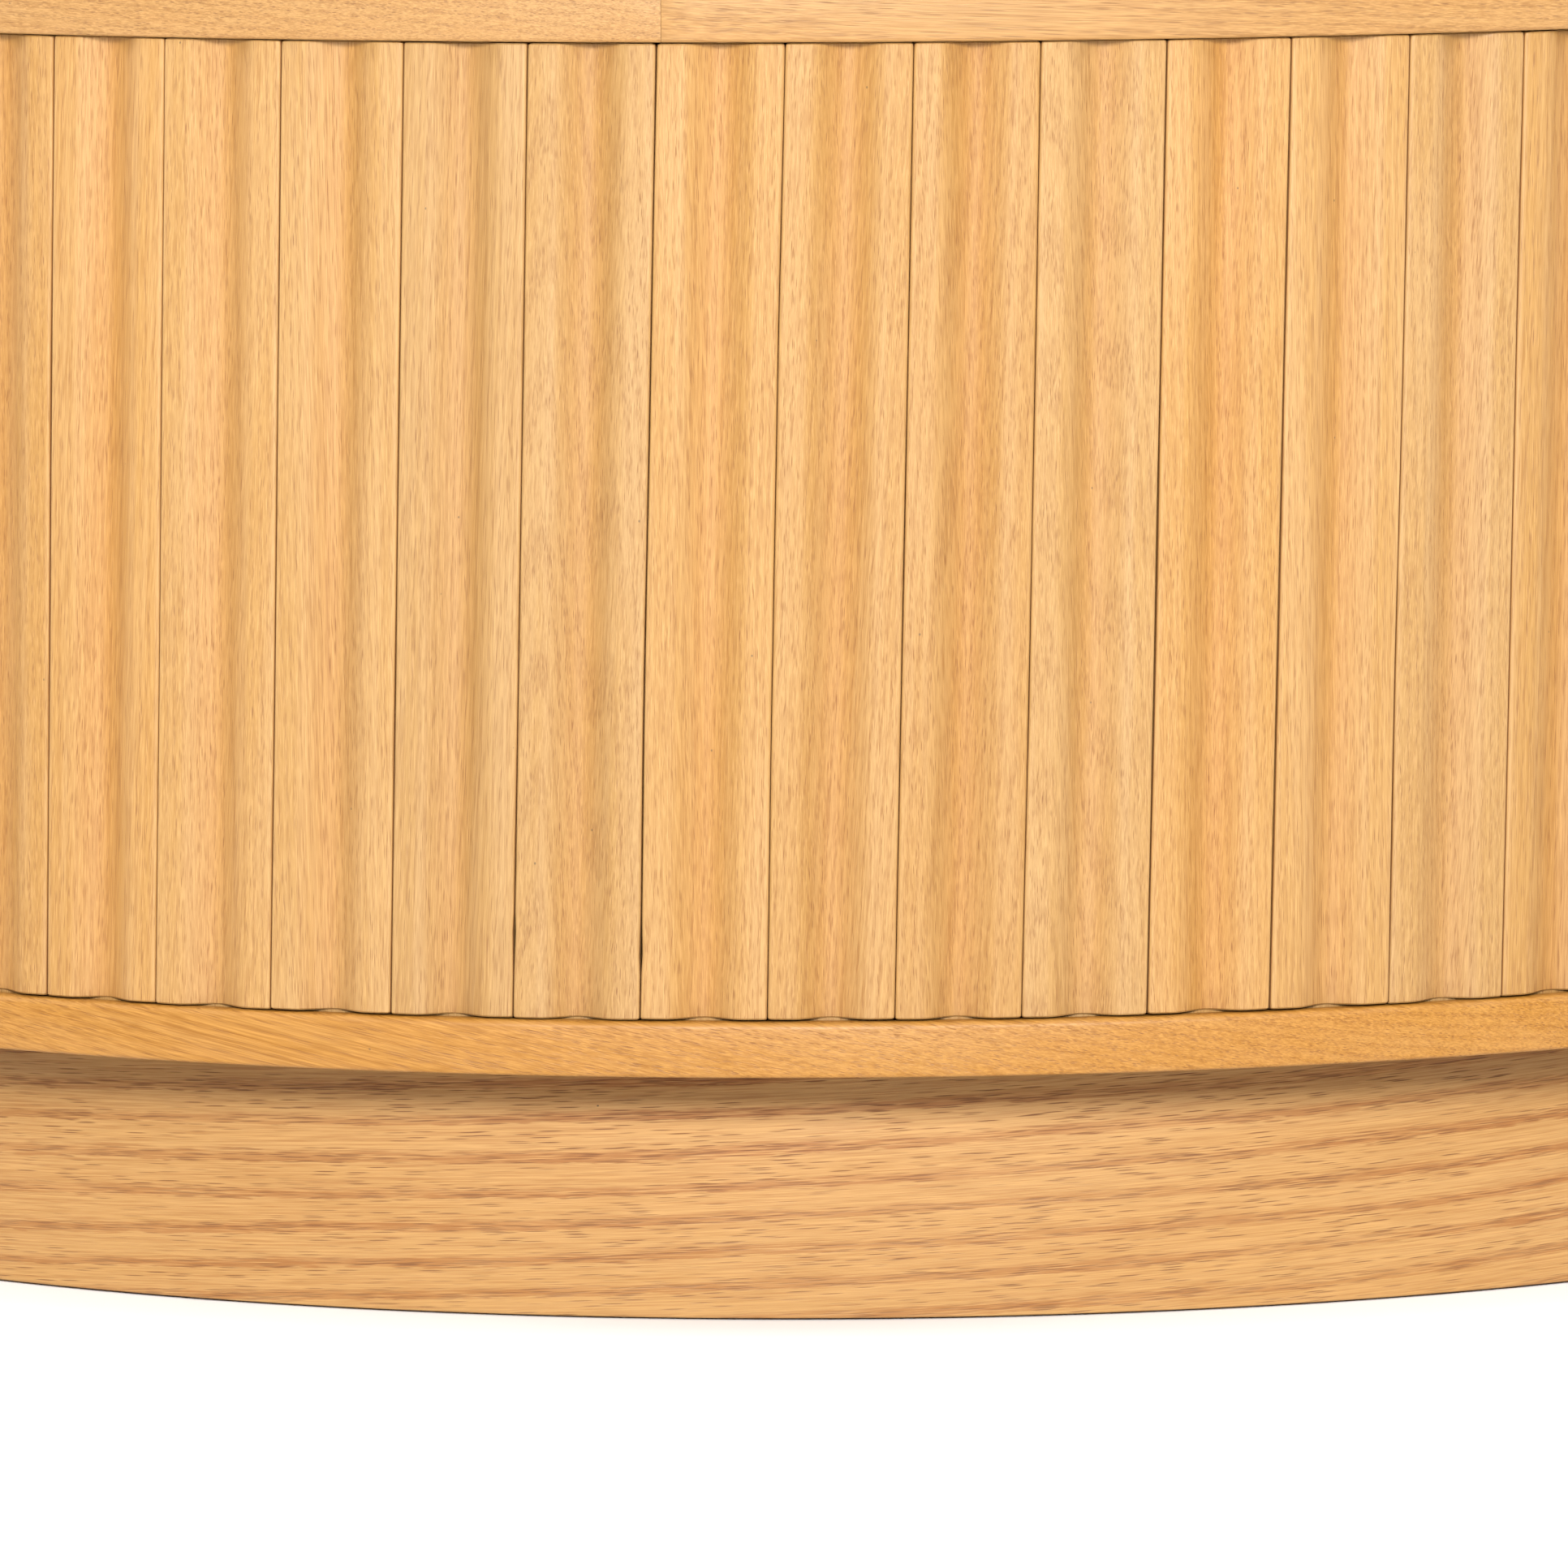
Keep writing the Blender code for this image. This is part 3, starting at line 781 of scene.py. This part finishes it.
def specks(g, wood, strength):
    """A few small round specks of dirt, in one cell of about thirty."""
    cells = g.cells(wood, (260.0, 260.0, 190.0))
    chosen = g.node("SeparateColor", (cells["Color"],)).outputs[0]
    round_spot = g.span(cells["Distance"], 0.085, 0.05)
    return g.math("MULTIPLY", round_spot, g.span(chosen, 0.965, 0.97, 0.0, strength))


def toned(g, colour, look):
    """The colour as this piece has it: pieces differ in hue, depth and value by their tone."""
    tone = g.field("tone")
    other = g.math("FRACT", g.math("MULTIPLY", tone, 7.3))
    shade = g.node("HueSaturation")
    g.set(shade.inputs["Hue"], g.span(tone, 0.0, 1.0, *look["tone_hue"]))
    g.set(shade.inputs["Saturation"], g.span(tone, 0.0, 1.0, *look["tone_depth"]))
    g.set(shade.inputs["Value"], g.span(other, 0.0, 1.0, *look["tone_value"]))
    g.set(shade.inputs["Color"], colour)
    return shade.outputs[0]


def rubbing_and_painted_light(g, wood, wear_sheen_and_shade, edge, colour, light):
    """The colour with painted shade in the hollows, pale edges for rubbing and a painted highlight,
    and painted shade in the seams.
    """
    rubbed_and_sheen = g.span(g.noise(wood, (400.0, 400.0, 40.0)), 0.35, 0.65, 0.22, 0.55)
    # Painted shade in the flute hollows.
    hollow = g.math("MAXIMUM", g.math("MULTIPLY", wear_sheen_and_shade, -1.0), 0.0)
    colour = g.mix(g.math("MULTIPLY", hollow, 0.45), colour, HOLLOW_SHADE_TINT, "MULTIPLY")
    # Pale edges: rubbing and a painted highlight.
    colour = g.mix(g.math("MULTIPLY", edge, rubbed_and_sheen), colour, brighter(light, 1.2))
    # Painted shade at the outermost edges and in the seams.
    return g.mix(g.span(edge, 0.90, 0.99, 0.0, 0.85), colour, SEAM_SHADE)


def wood_material(name, colours, changes):
    """Lacquered oak. changes holds what differs from OAK."""
    look = OAK | changes
    light, warm, dark, pore = colours
    g = Graph(name)
    wood = g.field("wood", vector=True)
    wear_sheen_and_shade = g.field("wear_sheen_and_shade")
    # edge marks the pale edges, for rubbing and a painted highlight, and the painted shade in the
    # seams.
    edge = g.math("MAXIMUM", wear_sheen_and_shade, 0.0)
    bands = growth_bands(g, wood, look)
    fine = g.noise(wood, (1500.0, 1500.0, 16.0), 3.0, 0.65)
    hair = g.noise(wood, (3300.0, 3300.0, 50.0), 2.0, 0.7)
    hole = pore_holes(g, wood, bands, look)

    colour = fibre_colour(g, wood, bands, fine, hair, (light, warm, dark), look)
    colour = g.mix(g.math("MULTIPLY", hole, look["pore_strength"]), colour, pore)
    colour = g.mix(specks(g, wood, look["speck"]), colour, DIRT)
    colour = rubbing_and_painted_light(g, wood, wear_sheen_and_shade, edge, toned(g, colour, look), light)
    g.set(g.shader.inputs["Base Color"], colour)

    cloudy = g.noise(wood, (60.0, 60.0, 25.0), 3.0)
    cloudy = g.span(cloudy, 0.3, 0.7, look["roughness"] - 0.05, look["roughness"] + 0.06)
    cloudy = g.math("MULTIPLY_ADD", edge, -0.06, cloudy)
    g.set(g.shader.inputs["Roughness"], g.math("MULTIPLY_ADD", hole, 0.12, cloudy))
    height = g.math("MULTIPLY_ADD", hole, -0.9, g.math("MULTIPLY", hair, 0.5))
    height = g.math("MULTIPLY_ADD", fine, 0.4, height)
    g.bumped(height, look["bump"], 0.0003)
    g.shader.inputs["Specular IOR Level"].default_value = LACQUER_GLOSS
    return g.material


def canvas_material():
    """Plain-woven cotton, its threads crossing every 0.9 mm."""
    g = Graph("canvas_weave")
    wood = g.field("wood", vector=True)
    parts = g.node("SeparateXYZ", (wood,)).outputs
    turn = 2 * math.pi / 0.0018
    warp = g.math("SINE", g.math("MULTIPLY", parts[0], turn))
    weft = g.math("SINE", g.math("MULTIPLY", parts[2], turn))
    weave = g.math("MULTIPLY_ADD", g.math("MULTIPLY", warp, weft), 0.5, 0.5)
    slub = g.noise(wood, (500.0, 500.0, 90.0), 3.0)
    colour = g.mix(weave, (0.26, 0.21, 0.15), (0.44, 0.37, 0.27))
    colour = g.mix(g.span(slub, 0.45, 0.75, 0.0, 0.5), colour, (0.20, 0.16, 0.11))
    g.set(g.shader.inputs["Base Color"], colour)
    g.set(g.shader.inputs["Roughness"], g.span(slub, 0.3, 0.7, 0.82, 0.95))
    g.bumped(weave, 0.6, 0.0004)
    return g.material


def nylon_material():
    """Moulded nylon with a fine grain and scuffs."""
    g = Graph("glide_nylon")
    wood = g.field("wood", vector=True)
    grain = g.noise(wood, (2500.0, 2500.0, 2500.0), 2.0)
    scuff = g.span(g.noise(wood, (160.0, 160.0, 700.0), 4.0), 0.52, 0.7)
    colour = g.mix(scuff, (0.055, 0.055, 0.05), (0.16, 0.155, 0.14))
    g.set(g.shader.inputs["Base Color"], colour)
    g.set(g.shader.inputs["Roughness"], g.span(grain, 0.3, 0.7, 0.42, 0.6))
    g.bumped(grain, 0.2, 0.0001)
    return g.material


def make_materials():
    """Every finish, by the name of its slot."""
    made = {name: wood_material(name, *wood) for name, wood in WOODS.items()}
    made["canvas"] = canvas_material()
    made["glide_nylon"] = nylon_material()
    return made


# The object

def stands_for(obj, node, body, slot):
    """Gives a piece its finish, and puts it in its CAD node's place."""
    obj.data.materials.append(MATERIALS[slot])
    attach(obj, body)
    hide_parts(node)


def make_door():
    """The slats, the two lead stiles, and the canvas that joins them."""
    seams = seam_lines()
    for place in range(DOOR_PLACES):
        if place in (0, DOOR_PLACES - 1):
            side = "left" if place == 0 else "right"
            node = f"lead_stile_{side}"
            made = slat(f"fine_{node}", place, seams, pull, mirrored=place == 0)
        else:
            node = f"door_slat_{place:02d}"
            crown = DRAWS.uniform() < CROWN_SLATS
            made = slat(f"fine_{node}", place, seams, flute, crown=crown)
        stands_for(made, node, "tambour_door", "slat_oak")

    turns = np.linspace(-DOOR_HALF + PLACE / 4, DOOR_HALF - PLACE / 4, 4 * DOOR_PLACES + 1)
    flat = math.cos(PLACE / 2)
    rows = []
    for height in np.linspace(CANVAS_LOW, CANVAS_HIGH, 3):
        front = polar(CANVAS_FRONT * flat, turns, height, SLAT_LEAN)
        back = polar(CANVAS_BACK * flat, turns[::-1], height, SLAT_LEAN)
        rows.append(np.concatenate([front, back]))
    sections = np.stack(rows)
    arc = np.concatenate([turns, turns[::-1]]) * CANVAS_FRONT
    grain = grown(arc[None, :], 0.0, sections[..., 2], (0, 0, 0))
    canvas = lofted("fine_canvas", sections, grain)
    stands_for(canvas, "tambour_canvas", "tambour_door", "canvas")


def top_outline():
    """The top lipping's outline, with the track cut up into its underside."""
    track = TOP_UNDERSIDE + TOP_TRACK_DEPTH
    return rounded([
        (LIPPING_BACK, TOP_UNDERSIDE, 0),
        (TRACK_BACK, TOP_UNDERSIDE, TRACK_EASE),
        (TRACK_BACK, track, 0),
        (TRACK_FRONT, track, 0),
        (TRACK_FRONT, TOP_UNDERSIDE, TRACK_EASE),
        (RADIUS, TOP_UNDERSIDE, RIM_ARRIS),
        (RADIUS, TABLE_HEIGHT, TOP_ROUND),
        (LIPPING_BACK, TABLE_HEIGHT, HIDDEN_EASE),
    ])


def base_outline():
    """The base lipping's outline, with the track cut down into its top."""
    track = BASE_TOP - BOTTOM_TRACK_DEPTH
    return rounded([
        (LIPPING_BACK, BASE_BOTTOM, 0),
        (RADIUS, BASE_BOTTOM, RIM_ARRIS),
        (RADIUS, BASE_TOP, 1.5 * RIM_ARRIS),
        (TRACK_FRONT, BASE_TOP, TRACK_EASE),
        (TRACK_FRONT, track, 0),
        (TRACK_BACK, track, 0),
        (TRACK_BACK, BASE_TOP, TRACK_EASE),
        (LIPPING_BACK, BASE_TOP, HIDDEN_EASE),
    ])


def make_lippings():
    """Both rings of lippings. The top's has the paler tones, and the base's grain slopes more."""
    length = 2 * math.pi / LIPPING_LENGTHS
    rings = (
        ("top", top_outline(), TOP_JOINT, 0.05, 0.8),
        ("base", base_outline(), BASE_JOINT, 0.24, 0.0),
    )
    for kind, outline, joint, slope, least_tone in rings:
        low, high = outline[:, 1].min(), outline[:, 1].max()
        # Pale arrises on the rims: rubbing and a painted highlight.
        wear_sheen_and_shade = corner_rubbing_and_sheen(outline, [(RADIUS, low), (RADIUS, high)])
        for i in range(LIPPING_LENGTHS):
            node = f"{kind}_lipping_{i + 1}"
            start = joint + i * length
            heart = (DRAWS.uniform(-0.24, -0.20), DRAWS.uniform(0.0, 0.02), DRAWS.uniform(0, 40))
            grain_of = sawn(start + length / 2, heart, slope * DRAWS.uniform(0.7, 1.2), 0.1)
            tone = DRAWS.uniform(0.0, 0.2) + least_tone
            made = ring_length(
                f"fine_{node}", outline, start, start + length, 60, grain_of, wear_sheen_and_shade, tone
            )
            stands_for(made, node, "carcass", "lipping_oak")


def make_plinth():
    """The bent, veneered lengths of the plinth."""
    inner = PLINTH_RADIUS - PLINTH_THICKNESS
    outline = rounded([
        (inner, PLINTH_LOW, HIDDEN_EASE),
        (PLINTH_RADIUS, PLINTH_LOW, PLINTH_ARRIS),
        (PLINTH_RADIUS, PLINTH_HIGH, HIDDEN_EASE),
        (inner, PLINTH_HIGH, HIDDEN_EASE),
    ])
    # Pale lower arris: rubbing and a painted highlight.
    wear_sheen_and_shade = corner_rubbing_and_sheen(outline, [(PLINTH_RADIUS, PLINTH_LOW)])
    length = 2 * math.pi / PLINTH_LENGTHS
    for i in range(PLINTH_LENGTHS):
        node = f"plinth_length_{i + 1}"
        start = (i - 0.5) * length
        grain_of = bent((0.060, 0.012, DRAWS.uniform(0, 40)), -0.045)
        made = ring_length(f"fine_{node}", outline, start, start + length, 90, grain_of, wear_sheen_and_shade, 0.5)
        stands_for(made, node, "carcass", "oak_veneer")


def make_glides():
    """The four glides, under the ends of the crossed rails."""
    for i in range(4):
        node = f"glide_{i + 1}"
        stands_for(glide(f"fine_{node}", node), node, "carcass", "glide_nylon")


def make_rails():
    """The crossed rails, half-lapped in the middle as the CAD has them."""
    low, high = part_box("plinth_rail_across")
    half, reach = high.y, high.x
    lap = (low.z + high.z) / 2
    slot = half + JOINT_GAP
    under = [(-reach, low.z), (reach, low.z), (reach, high.z), (slot, high.z)]
    under += [(slot, lap), (-slot, lap), (-slot, high.z), (-reach, high.z)]
    over = [(-reach, low.z), (-slot, low.z), (-slot, lap + JOINT_GAP), (slot, lap + JOINT_GAP)]
    over += [(slot, low.z), (reach, low.z), (reach, high.z), (-reach, high.z)]
    made = rail("fine_rail_across", under, half, False)
    stands_for(made, "plinth_rail_across", "carcass", "carcass_board")
    made = rail("fine_rail_deep", over, half, True)
    stands_for(made, "plinth_rail_deep", "carcass", "carcass_board")


def make_wall():
    """The four bent lengths of the fixed wall, from the doorway's right side round to its left."""
    for i in range(WALL_PANELS):
        node = f"wall_panel_{i + 1}"
        turn = DOOR_HALF + i * WALL_PLACES * PLACE
        made = fluted_wall(f"fine_{node}", turn, i == 0, i == WALL_PANELS - 1)
        stands_for(made, node, "carcass", "wall_oak")


def make_panels():
    """The top's core with its leaves of veneer, and the base."""
    face = TABLE_HEIGHT - VENEER
    top = disc("fine_top_panel", TOP_UNDERSIDE, face, (0.55, 0.02, 3.0), 0.5)
    stands_for(top, "top_panel", "carcass", "oak_veneer")
    for i in range(TOP_LEAVES):
        leaf = veneer_leaf(f"fine_top_leaf_{i + 1}", i, face, TABLE_HEIGHT)
        stands_for(leaf, "top_panel", "carcass", "oak_veneer")
    base = disc("fine_base_panel", BASE_BOTTOM, BASE_TOP, (0.03, 0.03, 9.0), 0.4)
    stands_for(base, "base_panel", "carcass", "carcass_board")


def make_bay():
    """The three boards round the storage bay."""
    for node in ("bay_side_left", "bay_side_right", "bay_back"):
        low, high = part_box(node)
        outline = [(low.x, low.y), (high.x, low.y), (high.x, high.y), (low.x, high.y)]
        along = "x" if node == "bay_back" else "y"
        made = block(f"fine_{node}", outline, low.z, high.z, along, DRAWS.uniform())
        stands_for(made, node, "carcass", "carcass_board")


def make_post(node, corners):
    """An upright of the wall's oak over (radius, angle) corners."""
    outline = [polar(radius, angle, 0.0)[:2] for radius, angle in corners]
    made = block(f"fine_{node}", outline, CARCASS_LOW, CARCASS_HIGH, "z")
    stands_for(made, node, "carcass", "wall_oak")


def make_posts():
    """The doorway's two posts, clear of the wall's leaning edges, and the stop at the back."""
    lean = SLAT_LEAN * (CARCASS_HIGH - CARCASS_LOW) / 2 / RIDGE
    edge = DOOR_HALF - lean - JOINT_GAP / WALL_BACK
    inner = edge - POST_WIDTH / WALL_BACK
    front = WALL_RIDGE - JOINT_GAP
    back = front - POST_DEPTH
    for side, name in ((1, "right"), (-1, "left")):
        corners = [(back, inner), (front, inner), (front, edge), (back, edge)]
        make_post(f"doorway_post_{name}", [(radius, side * angle) for radius, angle in corners])
    near = WALL_RIDGE + JOINT_GAP
    before, after = math.pi - STOP_ANGLE / 2, math.pi + STOP_ANGLE / 2
    make_post("back_stop", [(near, before), (RIDGE, before), (RIDGE, after), (near, after)])


# The studio

FLOOR_REACH = 60.0
FLOOR_PALE = (0.74, 0.74, 0.74, 1.0)
SKY_LOW = 0.12  # strength of the light from the horizon and from below it
SKY_HIGH = 1.35  # and from straight above
LAMP_DISTANCE = 4.0
LAMP_AIM = (0.0, 0.0, 0.1)
# Each softbox's azimuth (0 is the front) and elevation in degrees, size in metres and power in watts
LAMPS = {
    "key": (3.0, 19.7, (2.6, 0.7), 250.0),
    "left": (-92.0, 21.0, (1.0, 0.7), 84.0),
    "right": (92.0, 21.0, (1.0, 0.7), 84.0),
    "back": (195.0, 50.0, (3.0, 2.0), 130.0),
}

# The camera, as fitted to the photograph's rims and seams, with its turns in radians
CAMERA_DISTANCE = 8.017 * RIDGE
CAMERA_HEIGHT = 1.187 * RIDGE
CAMERA_PITCH = 0.1193
CAMERA_YAW = -0.0027
CAMERA_ROLL = -0.0039
CAMERA_AZIMUTH = math.radians(1.348)
CAMERA_LENS = 265.4  # mm, on a sensor 36 mm wide


def make_floor():
    """A wide, plain, pale floor."""
    mesh = bpy.data.meshes.new("floor")
    corners = [(x, y, 0.0) for x, y in ((-1, -1), (1, -1), (1, 1), (-1, 1))]
    mesh.from_pydata((np.array(corners) * FLOOR_REACH).tolist(), [], [(0, 1, 2, 3)])
    floor = bpy.data.objects.new("floor", mesh)
    bpy.context.scene.collection.objects.link(floor)
    pale = bpy.data.materials.new("floor")
    pale.use_nodes = True
    shader = pale.node_tree.nodes["Principled BSDF"]
    shader.inputs["Base Color"].default_value = FLOOR_PALE
    shader.inputs["Roughness"].default_value = 0.9
    shader.inputs["Specular IOR Level"].default_value = 0.1
    mesh.materials.append(pale)


def softbox(name, azimuth, elevation, size, energy):
    """A rectangular lamp that looks at the table."""
    azimuth, elevation = math.radians(azimuth), math.radians(elevation)
    lamp = bpy.data.lights.new(name, "AREA")
    lamp.shape = "RECTANGLE"
    lamp.size, lamp.size_y = size
    lamp.energy = energy
    made = bpy.data.objects.new(name, lamp)
    out = Vector((
        math.sin(azimuth) * math.cos(elevation),
        -math.cos(azimuth) * math.cos(elevation),
        math.sin(elevation),
    ))
    made.location = Vector(LAMP_AIM) + out * LAMP_DISTANCE
    made.rotation_euler = out.to_track_quat("Z", "Y").to_euler()
    bpy.context.scene.collection.objects.link(made)


def make_lights():
    """A white sky, brighter towards the top, and the softboxes."""
    world = bpy.data.worlds.new("studio")
    world.use_nodes = True
    tree = world.node_tree
    background = tree.nodes["Background"]
    background.inputs["Color"].default_value = (1.0, 1.0, 1.0, 1.0)
    direction = tree.nodes.new("ShaderNodeTexCoord")
    parts = tree.nodes.new("ShaderNodeSeparateXYZ")
    strength = tree.nodes.new("ShaderNodeMapRange")
    strength.inputs["To Min"].default_value = SKY_LOW
    strength.inputs["To Max"].default_value = SKY_HIGH
    tree.links.new(direction.outputs["Generated"], parts.inputs[0])
    tree.links.new(parts.outputs["Z"], strength.inputs["Value"])
    tree.links.new(strength.outputs[0], background.inputs["Strength"])
    bpy.context.scene.world = world
    for name, lamp in LAMPS.items():
        softbox(name, *lamp)


def make_camera():
    """A long lens a little above the table, tipped down and turned as the photographer had it."""
    level = Vector((math.sin(CAMERA_YAW), math.cos(CAMERA_YAW), 0.0))
    right = Vector((level.y, -level.x, 0.0))
    forward = level * math.cos(CAMERA_PITCH) - Vector((0, 0, math.sin(CAMERA_PITCH)))
    up = right.cross(forward)
    tilted_right = right * math.cos(CAMERA_ROLL) + up * math.sin(CAMERA_ROLL)
    tilted_up = up * math.cos(CAMERA_ROLL) - right * math.sin(CAMERA_ROLL)
    turned = Matrix((tilted_right, tilted_up, -forward)).transposed().to_4x4()
    place = Matrix.Translation((0.0, -CAMERA_DISTANCE, CAMERA_HEIGHT)) @ turned
    data = bpy.data.cameras.new("camera")
    data.sensor_width = 36.0
    data.lens = CAMERA_LENS
    data.clip_start = 0.05
    data.clip_end = 200.0
    camera = bpy.data.objects.new("camera", data)
    camera.matrix_world = Matrix.Rotation(CAMERA_AZIMUTH, 4, "Z") @ place
    bpy.context.scene.collection.objects.link(camera)
    bpy.context.scene.camera = camera


MATERIALS = make_materials()
make_door()
make_lippings()
make_plinth()
make_glides()
make_rails()
make_wall()
make_panels()
make_bay()
make_posts()
make_floor()
make_lights()
make_camera()

settings = bpy.context.scene.view_settings
settings.view_transform = "Standard"
settings.look = "None"
settings.exposure = 0.0
